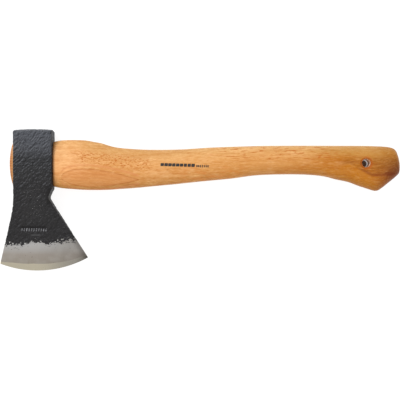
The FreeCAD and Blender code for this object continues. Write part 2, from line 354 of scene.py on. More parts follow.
# the head, forged with an eye through it, ground along the edge and honed; in mm from the eye's middle
headSize = {
    "eyeHalf": 19.4,          # from the eye's middle to either side of the head
    "pollY": 32.4, "pollCrown": 39.0, "pollBow": 0.38, "pollRound": 1.2, "crownFade": 0.12,
    "flareY": -40.0, "flareRound": 90.0,
    "toeY": -99.8, "heelY": -93.4, "edgeRound": 105.0,
    "lugY": -24.5, "lugRound": 2.0, "notch": (15.2, -33.8), "notchRound": 5.0,
    "cheekY": -22.0, "cheekSoft": 2.2, "cheekSag": 1.34,
    "bladeY": -78.0, "bladeHalf": 3.6, "bladeEndY": -112.0, "bladeEndHalf": 0.9,
    # width of the honed bevel at shares of the edge from toe to heel, its hollow, and where to look for it
    "bevel": ((0, 2.2), (0.15, 5.2), (0.38, 7.0), (0.64, 6.1), (0.79, 4.6), (1, 3.3)),
    "bevelHollow": 0.92, "bevelBelow": -60,
    "cornerRound": 1.4, "cornerShare": 0.42,      # radius along the sides, and its largest share of the half
    # upper end of the grinding, and its raggedness as depth, size along X and Y, and place in the noise
    "grindLine": ((-30, -80), (-16, -81.4), (0, -77.6), (14, -80), (30, -77.6), (37, -76), (44, -77.2)),
    "grindWander": ((1.7, 5, 7, 0), (1.5, 1.9, 2.6, 9)), "grindStep": 0.14, "grindFade": (-0.4, 0.7),
    "stampLow": (-14, -69.2), "stampHigh": (15, -62.2), "stampSink": 0.22, "stampFade": 1.2,
    "eye": (20.6, 8.8, 0.8), "eyeReach": 26, "eyeRings": 9,      # half sizes, their spread along the eye
    # rows of faces as (share down the head, count), then cells across, round a corner and through the side
    "shares": ((0, 126), (0.76, 66), (0.87, 60)), "across": 116, "cornerCells": 5, "wallCells": 16,
    "pollRings": 16, "roundRings": 5,
    "hammerDepth": 0.4, "hammerMarks": 330.0, "hammerSeed": 4.0,     # marks are counted per metre
    "smoothAngle": 32,
}


def roundedPath(corners, rounds, steps=12):
    # corners joined by straight lines, with an arc of the given radius at each inner corner
    path = [np.array(corners[0], float)]
    for before, corner, after, radius in zip(corners, corners[1:], corners[2:], rounds):
        before, corner, after = (np.array(p, float) for p in (before, corner, after))
        into = (corner - before) / np.linalg.norm(corner - before)
        out = (after - corner) / np.linalg.norm(after - corner)
        turn = math.acos(np.clip(into @ out, -1, 1))
        centre = corner + (out - into) / np.linalg.norm(out - into) * radius / math.cos(turn / 2)
        start = corner - into * radius * math.tan(turn / 2) - centre
        bend = math.copysign(turn, into[0] * out[1] - into[1] * out[0])
        for angle in np.linspace(0, bend, steps + 1):
            c, s = math.cos(angle), math.sin(angle)
            path.append(centre + np.array([start[0] * c - start[1] * s, start[0] * s + start[1] * c]))
    path.append(np.array(corners[-1], float))
    return np.array(path)


def smoothRise(value, low, high):
    t = np.clip((value - low) / (high - low), 0, 1)
    return t * t * (3 - 2 * t)


def headSides():
    # left and right sides of the head in side view, as functions of Y, from above the poll past the toe
    s = headSize
    half, above, toeY = s["eyeHalf"], s["pollY"] + 20, s["toeY"] - 0.1
    left = roundedPath([(-half, above), (-half, s["flareY"]), (headLow.x, toeY)], [s["flareRound"]])
    right = roundedPath([(half, above), (half, s["lugY"]), s["notch"], (headHigh.x, s["heelY"])],
                        [s["lugRound"], s["notchRound"]])
    return [lambda y, path=path: np.interp(-y, -path[:, 1], path[:, 0]) for path in (left, right)]


def grindField(x, y, side):
    # how far below the grinding's ragged upper line a place is, in mm; side is 1 or -1, one for each face
    line = np.interp(x, *zip(*headSize["grindLine"]))
    otherFace = 30        # far enough in the noise for the two faces to differ
    wander = [sum(depth * noise.noise(Vector((a / along, b / down, start + otherFace * c)))
                  for depth, along, down, start in headSize["grindWander"])
              for a, b, c in zip(np.ravel(x), np.ravel(y), np.ravel(np.broadcast_to(side, x.shape)))]
    return line - y + np.reshape(wander, np.shape(x))


def bladeHalf(y):
    # half thickness from the eye down through the blade, before the honed bevel
    s = headSize
    depth = s["cheekY"] - s["bladeY"]
    drop = np.logaddexp(0, (s["cheekY"] - y) / s["cheekSoft"]) * s["cheekSoft"] / depth
    hollow = midZ - (midZ - s["bladeHalf"]) * drop - 4 * s["cheekSag"] * drop * (1 - drop)
    taper = (s["bladeHalf"] - s["bladeEndHalf"]) / (s["bladeY"] - s["bladeEndY"])
    return np.where(y > s["bladeY"], hollow, s["bladeHalf"] - (s["bladeY"] - y) * taper)


def edgeMiddle(toe, heel):
    # the middle of the cutting edge's arc, and the length of its chord
    chord = heel - toe
    width = np.linalg.norm(chord)
    rise = math.sqrt(headSize["edgeRound"] ** 2 - width ** 2 / 4)
    return (toe + heel) / 2 + np.array([-chord[1], chord[0]]) / width * rise, width


def bevelAt(share, inward):
    # depth inside the honed bevel in mm, and the bevel's width; share runs from toe to heel
    width = np.interp(share, *zip(*headSize["bevel"]))
    return width - inward, width


def loftHead():
    # sections from the poll to the cutting edge; the last ones bend into the edge's arc
    s = headSize
    left, right = headSides()
    n, c, w = s["across"], s["cornerCells"], s["wallCells"]
    flat, bend = np.linspace(0, 1, n + 1), np.linspace(0, np.pi / 2, c + 1)[1:]
    wall, one = np.linspace(1, -1, w + 1)[1:-1], np.ones
    # a section's points: which side, share across, angle round the corner, share of the half thickness
    halves = []
    for up in (1, -1):
        halves += [(0 * flat, flat[::up], 0 * flat, up * one(n + 1)),
                   (up * one(c), 0 * bend, bend, up * one(c)),
                   (up * one(w - 1), 0 * wall, one(w - 1) * np.pi / 2, up * wall),
                   (up * one(c), 0 * bend, bend[::-1], -up * one(c))]
    side, t, angle, zShare = (np.concatenate(part)[None, :] for part in zip(*halves))

    ends = [low for low, count in s["shares"]][1:] + [1]
    v = np.concatenate([np.linspace(low, end, count, endpoint=end == 1)
                        for (low, count), end in zip(s["shares"], ends)])[:, None]
    start = s["pollY"] - s["pollRound"]
    yl, yr = start + (s["toeY"] - start) * v, start + (s["heelY"] - start) * v
    xl, xr = left(yl), right(yr)
    width = np.hypot(xr - xl, yr - yl)
    ax, ay = (xr - xl) / width, (yr - yl) / width
    mx, my = (xl + xr) / 2, (yl + yr) / 2
    nearlyFlat = 1e-5
    radius = s["edgeRound"] / np.maximum(v ** 3, nearlyFlat)
    (cx, cy), _ = edgeMiddle(np.array([xl[-1, 0], yl[-1, 0]]), np.array([xr[-1, 0], yr[-1, 0]]))

    def spot(q):
        sag = np.sqrt(radius ** 2 - q * q) - np.sqrt(radius ** 2 - width ** 2 / 4)
        return mx + ax * q + ay * sag, my + ay * q - ax * sag

    def halfAt(q, face):
        x, y = spot(q)
        inward = np.maximum(s["edgeRound"] - np.hypot(x - cx, y - cy), 0) * (v < 1)
        h = bladeHalf(y) - s["grindStep"] * smoothRise(grindField(x, y, face), *s["grindFade"])
        inBevel, wide = bevelAt(q / width + 0.5, inward)
        honed = bladeHalf(y + inBevel) * (inward / wide) ** s["bevelHollow"]
        h = np.where(inBevel > 0, np.minimum(h, honed), h)
        (x0, y0), (x1, y1) = s["stampLow"], s["stampHigh"]
        inside = np.minimum(np.minimum(x - x0, x1 - x), np.minimum(y - y0, y1 - y))
        return x, y, h - s["stampSink"] * smoothRise(inside, 0, s["stampFade"]) * (face > 0)

    face = np.where(zShare >= 0, 1.0, -1.0)
    edges = [halfAt(edge * width / 2, np.ones((1, 1)))[2] for edge in (-1, 1)]
    rounds = [np.minimum(s["cornerRound"], s["cornerShare"] * edge) for edge in edges]
    r = np.where(side < 0, rounds[0], rounds[1])
    q = np.where(side == 0, -width / 2 + rounds[0] + (width - rounds[0] - rounds[1]) * t,
                 side * (width / 2 - r * (1 - np.sin(angle))))
    x, y, h = halfAt(q, face)
    z = zShare * (h - r * (1 - np.cos(angle)))

    def crown(x, z):
        # the striking face's height above its edge at the cheeks
        dome = np.sqrt(s["pollCrown"] ** 2 - z * z) - math.sqrt(s["pollCrown"] ** 2 - midZ ** 2)
        return dome * (1 - s["pollBow"] * (x / s["eyeHalf"]) ** 2)

    y = y + crown(x, z) * np.clip(1 - v / s["crownFade"], 0, 1) ** 2
    # rings that round the poll's edge, then rings that close its face
    grids = [np.stack([x, y, z], 2)]
    x0, z0 = x[0], z[0]
    turn = np.linspace(0, np.pi / 2, s["roundRings"] + 1)[1:, None]
    closing = np.linspace(1, 0, s["pollRings"] + 1)[1:, None]
    rounded = s["pollRound"]
    for shrink, lift, close in ((rounded * (1 - np.cos(turn)), rounded * np.sin(turn), 1),
                                (rounded, rounded, closing)):
        rx = x0 * (1 - shrink / s["eyeHalf"]) * close
        rz = z0 * (1 - shrink / midZ) * close
        grids.insert(0, np.stack([rx, start + lift + crown(rx, rz), rz], 2)[::-1])
    grid = np.concatenate(grids)
    grid[:, :, 2] += midZ
    rows, ring = grid.shape[:2]
    index = np.arange(rows * ring).reshape(rows, ring)
    piece = newPiece("head_forging", grid.reshape(-1, 3), quadStrips(index))
    weld(piece)
    return piece


def ovalRings(name, rings, around=96):
    # closed mesh through ovals: each has a function of its points for X, and half sizes in Y and Z
    angles = np.linspace(0, 2 * np.pi, around, endpoint=False)
    grid = []
    for along, high, wide in rings:
        y, z = high * np.cos(angles), wide * np.sin(angles)
        x = along(y, z) if callable(along) else np.full(around, float(along))
        grid.append(np.stack([x, y, z + midZ], 1))
    index = np.arange(len(rings) * around).reshape(len(rings), around)
    piece = newPiece(name, np.concatenate(grid), quadStrips(index))
    weld(piece)
    return piece


def eyeOpening(x):
    # half sizes of the eye, which widens from the handle's side to the open side
    high, wide, spread = headSize["eye"]
    share = 0.5 - x / 2 / headSize["eyeHalf"]
    return high + spread * share, wide + spread * share


def markForgedSkin(piece):
    # how far each point is below the grinding's line, and inside the bevel, for the finish to follow
    s = headSize
    mesh = piece.data
    places = np.empty(len(mesh.vertices) * 3)
    mesh.vertices.foreach_get("co", places)
    x, y, z = places.reshape(-1, 3).T / mm
    ground = grindField(x, y, np.where(z > midZ, 1.0, -1.0))
    toe, heel = np.array([headLow.x, s["toeY"]]), np.array([headHigh.x, s["heelY"]])
    middle, width = edgeMiddle(toe, heel)
    faraway = 50
    inward = np.where(y < s["bevelBelow"], s["edgeRound"] - np.hypot(x - middle[0], y - middle[1]), faraway)
    share = (np.stack([x, y], 1) - toe) @ (heel - toe) / width ** 2
    honed = bevelAt(share, inward)[0]
    for name, values in (("ground", ground), ("honed", honed)):
        layer = mesh.attributes.new(name, "FLOAT", "POINT")
        layer.data.foreach_set("value", values.astype(np.float32))


def hammerTree(sizes):
    # small hollows all over the forged skin, none on the ground steel
    tree, net, given = geometryTree("hammerMarks", sizes)
    ground = net.add("GeometryNodeInputNamedAttribute", {"data_type": "FLOAT"}, {"Name": "ground"})
    blobs = net.add("ShaderNodeTexNoise", {"noise_dimensions": "4D"},
                    {"Vector": net.add("GeometryNodeInputPosition"), "W": given["Seed"],
                     "Scale": given["Marks per metre"], "Detail": 1.0})
    depth = blobs.step(0.35, 0.75) * (ground * -1).step(0.2, 2.0) * given["Depth"] * -1
    push = net.scaled(net.add("GeometryNodeInputNormal"), depth)
    moved = net.add("GeometryNodeSetPosition", {}, {"Geometry": given["Geometry"], "Offset": push})
    endTree(net, moved, given["Material"])
    return tree


# finish of the head: colours as they are seen, from 0 to 255, each at its share of the reach in Y
steelLook = {
    "skinReach": (-80, 35),     # bluish, and paler towards the poll with a painted sheen of the light from that side
    "skin": ((0.0, (33, 32, 33)), (0.55, (34, 33, 34)), (0.7, (37, 37, 38)), (0.83, (39, 40, 42)),
             (0.93, (72, 74, 80)), (1.0, (76, 79, 86))),
    # ground steel's shades from the edge up carry a painted reflection, paler towards the top
    "groundReach": (-104, -80),
    "ground": ((0.0, (157, 149, 138)), (0.6, (166, 158, 150)), (1.0, (184, 183, 182))),
    "honedToe": (196, 188, 168), "honedHeel": (150, 146, 139),
    # noise patterns: size in mm, detail, roughness, shift
    "patterns": {
        "ragged": (1.1, 3, 0.6), "islets": (2.3, 2, 0.5, (3, 1, 0)), "dents": (1.7, 2, 0.5, (8, 2, 0)),
        "fine": (0.7, 3, 0.7), "specks": (1.0, 1, 0.5, (9, 4, 2)), "pits": (1.5, 1, 0.5, (2, 7, 3)),
        "lines": ((0.22, 9, 4),), "clouds": (9, 2, 0.5, (5, 5, 0)), "honing": ((0.15, 2.5, 2), 1)},
    "lumps": (3.5, 5, 0.68), "streaks": ((6.0, 1.6, 4), 4, 0.62), "streakTurn": 0.75,    # forge scale
    "across": (0.837, 0.546),     # direction straight out of the slanting side below the notch
    "reliefDepth": 1.1, "gloss": 0.22, "skinRough": 0.62, "groundRough": 0.34, "metal": 0.95,
}


def steelMaterial():
    look = steelLook
    material, net, shader = newMaterial("forgedSteel", **{"Specular IOR Level": look["gloss"]})
    place = net.coords()
    x, y, _ = net.parts(place)
    ground, honed = (net.add("ShaderNodeAttribute", {"attribute_name": name}, output="Fac")
                     for name in ("ground", "honed"))
    ragged, islets, dents, fine, specks, pits, lines, clouds, honing = (
        net.noise(place, *how) for how in look["patterns"].values())
    # bare steel starts at a ragged line, with islets of it above and dents still black below
    broken = x.step(22, 31) * 0.1      # more broken at the heel's side
    bare = (ground + ragged * 3.4 - 1.7).step(-0.15, 0.2)
    bare = (bare + ((islets + broken).step(0.6, 0.64) * (ground + 3.8).step(0, 1) * (1 - bare))).clamped()
    bare = bare * (1 - (dents + broken).step(0.63, 0.66) * (3.4 - ground).step(0, 1.5) * 0.9)
    bevel = (honed + (ragged - 0.5) * 0.5).step(-0.15, 0.25)
    notchX, notchY = headSize["notch"]
    outX, outY = look["across"]
    # painted shade near the slanting side below the notch, where the blade's side turns from the light
    heelSideShade = ((x - notchX) * outX + (y - notchY) * outY).step(-6.5, 0)

    def scaleAt(lumpShift, streakShift):
        lumps = net.noise(place, *look["lumps"], lumpShift)
        return lumps * 0.6 + net.noise(place, *look["streaks"], streakShift, look["streakTurn"]) * 0.4, lumps

    # painted light and shade on the relief: sides that face the upper left are painted paler, the others
    # darker
    relief, lumps = scaleAt((0, 0, 0), (0, 0, 0))
    beside, _ = scaleAt((0.6, -0.8, 0), (0.5, -0.7, 0))
    paintedRelief = (relief - beside) * (y.step(-50, 25) * 2.7 + 2.6) + 0.5
    middle = x.within(-18, -4, 4, 18) * y.within(-66, -46, -32, -18)
    above = x.within(-13, -11, 11, 14) * (y + ragged * 2).within(-63.9, -62.9, -61.4, -60.4)
    below = x.within(-4, -1, 5, 8) * (y + ragged).within(-71.6, -70.8, -70.2, -69)
    # painted shade: a dark line along the edge where the face turns into the side by the handle
    eyeEdgeShade = x.within(18.4, 19.2, 19.25, 19.4) * y.step(-24, -21)
    # painted shade on the lug, where its side turns away from the light
    lugShade = x.step(13, 15) * y.within(-42, -39, -24, -21)
    skin = net.coat(
        net.shades(y.step(*look["skinReach"]), *look["skin"]),
        # painted shade, then painted highlight, on the relief
        (paintedRelief.step(0.5, 0.0) * 0.75, (0.22, 0.22, 0.23)),
        (paintedRelief.step(0.55, 1.1) * (y.step(-60, 10) * 0.25 + 0.32), (112, 114, 120)),
        (relief.step(0.5, 0.4) * 0.4, (0.4, 0.4, 0.41)),
        (fine.step(0.5, 0.8) * 0.3, (96, 96, 100)),
        (y.step(33.1, 33.9) * 0.4, (150, 154, 162)),     # painted highlight on the poll's rim
        (middle * 0.1, (66, 65, 65)),
        (specks.step(0.71, 0.75) * (middle * 0.6 + 0.15), (170, 168, 166)),
        # painted shade in the punched hollow: a dark line above its strokes, and a faint painted highlight
        # below them
        (above * 0.85, (16, 15, 16)),
        (below * 0.25, (110, 110, 112)),
        (eyeEdgeShade * 0.6, (18, 18, 19)),
        # painted shade on the lug and along the slanting side
        (lugShade * 0.7 + heelSideShade * 0.12, (20, 19, 19)))

    # ground steel has fine lines across the edge and small pits, and a painted reflection that makes it paler
    # towards the top and the toe; the honed bevel is brighter
    grey = net.coat(
        net.shades(y.step(*look["groundReach"]), *look["ground"]),
        (x.step(-5, 48) * 0.6, (132, 126, 119)),
        ((lines - 0.3).clamped() * 0.5, (0.72, 0.72, 0.72)),
        (clouds.step(0.4, 0.7) * 0.25, (182, 178, 172)))
    bright = net.coat(
        net.mix(x.step(0, 42) * 0.85, tone(*look["honedToe"]), tone(*look["honedHeel"])),
        ((honing - 0.35).clamped() * 0.5, (0.75, 0.75, 0.75)))
    # painted shade near the slanting side and in the heel's corner by the edge
    heelShade = heelSideShade * 0.42 + x.step(40, 50) * (-85 - y).step(0, 9) * 0.4
    steel = net.coat(
        net.mix(bevel, grey, bright),
        (heelShade.clamped(), (62, 57, 52)),
        (pits.step(0.74, 0.77) * (1 - bevel) * 0.7, (70, 66, 62)))

    groundRough = lines * 0.12 - bevel * 0.06 + look["groundRough"]
    roughness = bare * (groundRough - look["skinRough"]) + look["skinRough"] - lumps * 0.08
    height = (relief * 0.8 + fine * 0.2) * (1 - bare) + (lines * 0.02 + 0.3) * bare
    feed(net, shader, Base_Color=net.mix(bare, skin, steel), Metallic=bare * look["metal"],
         Roughness=roughness, Normal=bump(net, height, look["reliefDepth"]))
    return material


steel = steelMaterial()
head = loftHead()
print("head lofted", len(head.data.polygons))
reach = headSize["eyeReach"]
eyeRings = [(x, *eyeOpening(x)) for x in np.linspace(reach, -reach, headSize["eyeRings"])]
eyeTool = ovalRings("eyeTool", [(reach, 0, 0), *eyeRings, (-reach, 0, 0)])
combine(head, eyeTool, "DIFFERENCE")
markForgedSkin(head)
hammer = {"Depth": headSize["hammerDepth"] * mm, "Marks per metre": headSize["hammerMarks"],
          "Seed": headSize["hammerSeed"], "Material": steel}
runTree(head, hammerTree(hammer), hammer)
smooth(head, headSize["smoothAngle"])
finishPiece(head, steel, "forged_steel", "head")
print("head finished", len(head.data.polygons))


# the handle and its two wedges, in mm
handleSize = {
    # from the shoulder at the head to the butt: share of the loft, X, top, bottom, half thickness
    "stations": (
        (0.000, 19.45, -0.2, -0.2, 0.0), (0.080, 19.45, 20.9, -21.3, 8.7), (0.094, 19.65, 21.8, -22.2, 9.4),
        (0.108, 20.7, 22.4, -22.8, 9.9), (0.155, 40, 24.0, -25.2, 10.5), (0.205, 62, 21.8, -26.1, 11.0),
        (0.275, 90, 15.7, -24.8, 11.4), (0.355, 125, 14.2, -21.8, 11.8), (0.500, 190, 17.0, -15.4, 12.0),
        (0.640, 255, 18.3, -10.4, 12.2), (0.740, 305, 18.2, -16.2, 13.2), (0.785, 326, 18.1, -22.5, 13.7),
        (0.807, 335, 18.0, -25.4, 13.9), (0.818, 338.5, 17.9, -26.5, 13.95), (0.827, 341, 17.8, -26.9, 13.95),
        (0.836, 343.5, 17.7, -26.5, 13.9), (0.846, 346, 17.6, -25.1, 13.8), (0.859, 349, 17.4, -22.9, 13.6),
        (0.880, 354, 16.9, -18.9, 13.1), (0.900, 358.6, 15.7, -15.2, 12.2), (0.916, 361.3, 13.6, -12.9, 10.8),
        (0.932, 363.1, 9.8, -11.2, 9.0), (0.948, 364.4, 5.4, -9.8, 6.8), (0.966, 365.1, 1.6, -7.6, 4.2),
        (1.000, 365.35, -3.0, -3.0, 0.0)),
    "rows": 400, "around": 136, "roundness": 0.94, "waviness": 0.12, "wavesPerMetre": 45.0, "seed": 2.0,
    # the tongue in the eye: its start inside the shaft, its outer end, its clearance, how its end closes
    "tongueRoot": 24, "eyeReach": 23.38, "domeRadius": 82.0, "eyeGap": 0.06, "tongueRings": 20,
    "closing": (0.985, 0.95, 0.9, 0.75, 0.6, 0.45, 0.3, 0.15, 0),
    "kerf": {"mouth": 5.2, "tip": 0.8, "tipX": 4.6, "seam": 0.07, "cutHalf": 30},
    "ring": {"radius": 6.0, "wall": 1.6, "depth": 17.0, "seam": 0.07, "sunk": 0.12, "soften": 0.25},
    "hole": {"x": 330.8, "y": 0.6, "radius": 4.0, "wall": 22.4, "funnel": 4, "soften": 3.2},
    "outside": -30,           # cutting tools reach this X, past the head's open side
    "smoothAngle": 40,
}


def stationCurve(net, given, column, key=0):
    # one column of the stations as a smooth curve over another
    stations = handleSize["stations"]
    values = [station[column] for station in stations]
    low, high = min(values), max(values)
    first, last = stations[0][key], stations[-1][key]
    points = []
    for station, value in zip(stations, values):
        place = ((station[key] - first) / (last - first), (value - low) / (high - low))
        if not points or place[0] > points[-1][0] + 1e-3:
            points.append(place)
    curve = net.add("ShaderNodeFloatCurve", {"points": points}, {"Value": (given - first) / (last - first)})
    return curve * (high - low) + low


def handleTree(sizes):
    # a grid of rows by points round the section, wrapped on the stations' curves
    tree, net, given = geometryTree("handleLoft", sizes)
    grid = net.add("GeometryNodeMeshGrid", {}, {"Size X": 1.0, "Size Y": 1.0, "Vertices X": given["Rows"],
                                                "Vertices Y": given["Points round"]})
    along, turn, _ = net.parts(net.add("GeometryNodeInputPosition"))
    share, angle = along + 0.5, turn * 2 * math.pi
    x, top, bottom, thick = (stationCurve(net, share, column) for column in (1, 2, 3, 4))

    def rounded(wave):
        return wave.apply("SIGN") * wave.apply("ABSOLUTE") ** given["Roundness"]

    y = (top + bottom) / 2 + (top - bottom) / 2 * rounded(angle.apply("COSINE"))
    z = thick * rounded(angle.apply("SINE")) + midZ
    moved = net.add("GeometryNodeSetPosition", {},
                    {"Geometry": grid, "Position": net.scaled(net.joined(x, y, z), mm)})
    closed = net.add("GeometryNodeMergeByDistance", {}, {"Geometry": moved, "Distance": 0.004 * mm})
    # slow waves left by the spokeshave
    waves = net.add("ShaderNodeTexNoise", {"noise_dimensions": "4D"},
                    {"Vector": net.add("GeometryNodeInputPosition"), "W": given["Seed"],
                     "Scale": given["Waves per metre"], "Detail": 1.0})
    push = net.scaled(net.add("GeometryNodeInputNormal"), (waves - 0.5) * given["Waviness"])
    moved = net.add("GeometryNodeSetPosition", {}, {"Geometry": closed, "Offset": push})
    endTree(net, moved, given["Material"])
    return tree


def makeTongue(name):
    # the oval that fills the eye, from inside the shaft to its domed outer end
    s = handleSize
    root, apex = s["tongueRoot"], -s["eyeReach"]

    def along(share):
        return lambda y, z: root + (apex + (y * y + z * z) / 2 / s["domeRadius"] - root) * share

    rings = []
    for share in np.linspace(0, 1, s["tongueRings"]):
        high, wide = (half - s["eyeGap"] for half in eyeOpening(root + (apex - root) * share))
        if not rings:
            rings = [(root, high * k, wide * k) for k in (0, 0.5)]
        rings.append((along(share * 0.988), high, wide))    # the last ring's edge stays a little inside
    rings += [(along(1), high * k, wide * k) for k in s["closing"]]
    return ovalRings(name, rings)


def wedgePrism(name, seam):
    # the sawn slot's wedge shape, wide at the open side and narrow inside
    k = handleSize["kerf"]
    deep, out = k["tipX"] + seam * 3, handleSize["outside"]
    slope = (k["mouth"] - k["tip"]) / 2 / (k["tipX"] + handleSize["eyeReach"])
    low = k["tip"] / 2 + seam
    high = low + slope * (deep - out)
    verts = [(x, y, midZ + side * half) for x, half in ((out, high), (deep, low))
             for y in (-k["cutHalf"], k["cutHalf"]) for side in (-1, 1)]
    faces = [(0, 1, 3, 2), (4, 6, 7, 5), (0, 4, 5, 1), (2, 3, 7, 6), (0, 2, 6, 4), (1, 5, 7, 3)]
    piece = newPiece(name, verts, faces)
    weld(piece)
    return piece


def lathe(name, profile, turnAxis, origin, around=72):
    # a closed profile of (along, radius) turned round an axis
    angles = np.linspace(0, 2 * np.pi, around, endpoint=False)
    grid = []
    for along, radius in profile:
        a, b, c = np.full(around, along), radius * np.cos(angles), radius * np.sin(angles)
        grid.append(np.stack([a, b, c] if turnAxis == "X" else [b, c, a], 1) + np.array(origin))
    index = np.arange(len(profile) * around).reshape(len(profile), around)
    piece = newPiece(name, np.concatenate(grid), quadStrips(index, closedRows=True))
    weld(piece)
    return piece


def ringProfile(seam, start, soften=0.0):
    # the ring's wall as (along, radius), each corner as two points where edges are softened
    r = handleSize["ring"]
    inner, outer = r["radius"] - r["wall"] - seam, r["radius"] + seam
    end = -handleSize["eyeReach"] + r["depth"] + seam
    profile = []
    for x, radius, dx, dr in ((start, inner, 1, 1), (start, outer, 1, -1),
                              (end, outer, -1, -1), (end, inner, -1, 1)):
        corner = [(x + dx * soften, radius), (x, radius + dr * soften)]
        profile += corner if dx == dr else corner[::-1]
    return profile if soften else profile[::2]


def holeProfile():
    # the bore and the funnels at both ends, softened where they meet
    h = handleSize["hole"]
    half, over = h["wall"] / 2, h["funnel"]
    far = half + over
    side = roundedPath([(0, h["radius"]), (half, h["radius"]), (far, h["radius"] + over)], [h["soften"]], 6)
    return [(-far, 0)] + [(-a, r) for a, r in side[::-1]] + [(a, r) for a, r in side[1:]] + [(far, 0)]


# finish of the haft: colours as they are seen, from 0 to 255, and lengths in mm
woodLook = {
    # each zone's colours from its lower side to its upper one, with painted shade darkest at the lower side,
    # and over which X the next zone takes over
    "zones": (
        ((204, 148, 80), (222, 160, 98), (238, 178, 120), (234, 178, 122), (226, 170, 112), (214, 162, 102)),
        ((192, 136, 70), (208, 148, 84), (216, 155, 92), (217, 158, 94), (212, 160, 100), (202, 154, 94)),
        ((188, 128, 58), (202, 139, 70), (212, 150, 82), (218, 159, 94), (217, 164, 102), (214, 170, 112)),
        ((170, 110, 26), (186, 116, 24), (186, 114, 22), (186, 116, 28), (192, 138, 66), (200, 155, 92)),
        ((120, 54, 6), (128, 62, 8), (144, 80, 20), (156, 97, 28), (170, 113, 40), (178, 123, 50))),
    "takeOver": ((36, 62), (120, 190), (236, 312), (330, 360)),
    # noise patterns along the grain: size, detail, roughness, shift
    "patterns": {
        "bands": ((95, 3.4, 30), 3, 0.55), "fibres": ((26, 0.5, 0.9), 3, 0.65),
        "hairs": ((9, 0.3, 0.6), 2, 0.6, (5, 2, 9)), "blotches": ((22, 7, 9), 3, 0.6, (1, 8, 3)),
        "mottle": ((4.8, 1.25, 2.4), 3, 0.65, (6, 3, 7)), "clouds": ((11, 3.2, 5), 2, 0.5, (12, 3, 4)),
        "pores": ((5.5, 0.33, 0.5), 1, 0.5, (3, 5, 1)), "rows": ((120, 2.6, 9), 1, 0.5, (40, 2, 8)),
        "short": ((2.4, 0.7, 1.2), 2, 0.5, (7, 1, 2)), "long": ((8.5, 0.9, 1.5), 1, 0.5, (2, 6, 5))},
    "bend": 0.45,             # how much of the haft's bend the grain follows
    "figure": {"x": 28, "length": 78, "y": -13.2, "fall": 2.9, "half": 9.4, "edge": 1.4},
    "streak": {"x": 314, "length": 22, "fall": 10.6, "y": -0.8},
    "knot": {"x": 354, "y": -10, "long": 6, "high": 2.4},
    "heart": {"y": -52, "z": 62, "rings": 3.1},      # the tree's heart, for the end grain's year rings
    "gloss": 0.1, "coat": 0.05, "coatRough": 0.25, "rough": 0.34, "poreDepth": 0.12,
}


